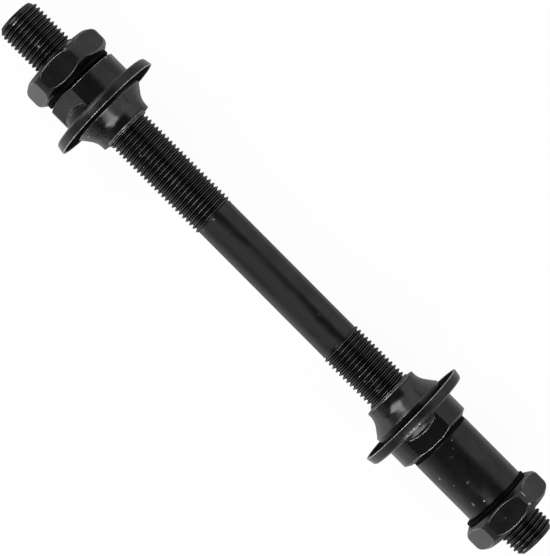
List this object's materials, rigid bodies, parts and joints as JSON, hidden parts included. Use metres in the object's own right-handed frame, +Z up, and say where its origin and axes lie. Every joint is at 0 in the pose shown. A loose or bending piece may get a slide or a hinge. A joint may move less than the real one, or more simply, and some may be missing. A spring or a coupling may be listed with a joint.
{
  "type": "bicycle hub axle",
  "caption": "Hollow threaded rear hub axle with bearing cones, pressed dust caps, thin washers, a spacer and hexagonal lock nuts, all dark steel.",
  "frame": {"origin": "the middle of the axle's length, on the axle's own axis", "axes": "+X along the axle towards the spacer end, +Z up, +Y completes the right-handed set"},
  "size_m": [0.146, 0.025, 0.025],
  "materials": {
    "axle_steel": "black oxide, satin",
    "nut_steel": "black oxide, satin",
    "washer_steel": "black oxide, dull",
    "cone_steel": "black oxide, ground race",
    "cap_steel": "black oxide, satin",
    "spacer_steel": "black oxide, satin"
  },
  "bodies": {
    "axle": {"axle": "axle_steel"},
    "left_washer_slide": {"left_lock_washer": "washer_steel"},
    "left_nut": {"left_lock_nut": "nut_steel"},
    "left_cap_slide": {"left_dust_cap": "cap_steel"},
    "left_cone": {"left_cone": "cone_steel"},
    "right_spacer_slide": {"right_lock_washer": "washer_steel", "right_spacer": "spacer_steel", "right_inner_washer": "washer_steel"},
    "right_nut": {"right_lock_nut": "nut_steel"},
    "right_cap_slide": {"right_dust_cap": "cap_steel"},
    "right_cone": {"right_cone": "cone_steel"}
  },
  "joints": [
    {"name": "left_nut_travel", "type": "slide", "parent": "axle", "child": "left_washer_slide", "axis": [-1, 0, 0], "range_m": [0, 0.01565]},
    {"name": "left_nut_turn", "type": "hinge", "parent": "left_washer_slide", "child": "left_nut", "pos_m": [-0.0586, 0, 0], "axis": [-1, 0, 0], "range_deg": [0, 5760]},
    {"name": "left_cone_travel", "type": "slide", "parent": "axle", "child": "left_cap_slide", "axis": [1, 0, 0], "range_m": [0, 0.02347]},
    {"name": "left_cone_turn", "type": "hinge", "parent": "left_cap_slide", "child": "left_cone", "pos_m": [-0.0482, 0, 0], "axis": [1, 0, 0], "range_deg": [0, 8640]},
    {"name": "right_nut_travel", "type": "slide", "parent": "axle", "child": "right_spacer_slide", "axis": [1, 0, 0], "range_m": [0, 0.00979]},
    {"name": "right_nut_turn", "type": "hinge", "parent": "right_spacer_slide", "child": "right_nut", "pos_m": [0.06465, 0, 0], "axis": [1, 0, 0], "range_deg": [0, 3600]},
    {"name": "right_cone_travel", "type": "slide", "parent": "axle", "child": "right_cap_slide", "axis": [-1, 0, 0], "range_m": [0, 0.0137]},
    {"name": "right_cone_turn", "type": "hinge", "parent": "right_cap_slide", "child": "right_cone", "pos_m": [0.03825, 0, 0], "axis": [-1, 0, 0], "range_deg": [0, 5040]}
  ],
  "couplings": [
    {"joint": "left_nut_travel", "follows": "left_nut_turn", "m_per_rad": 0.00015548},
    {"joint": "left_cone_travel", "follows": "left_cone_turn", "m_per_rad": 0.00015548},
    {"joint": "right_nut_travel", "follows": "right_nut_turn", "m_per_rad": 0.00015548},
    {"joint": "right_cone_travel", "follows": "right_cone_turn", "m_per_rad": 0.00015548}
  ]
}
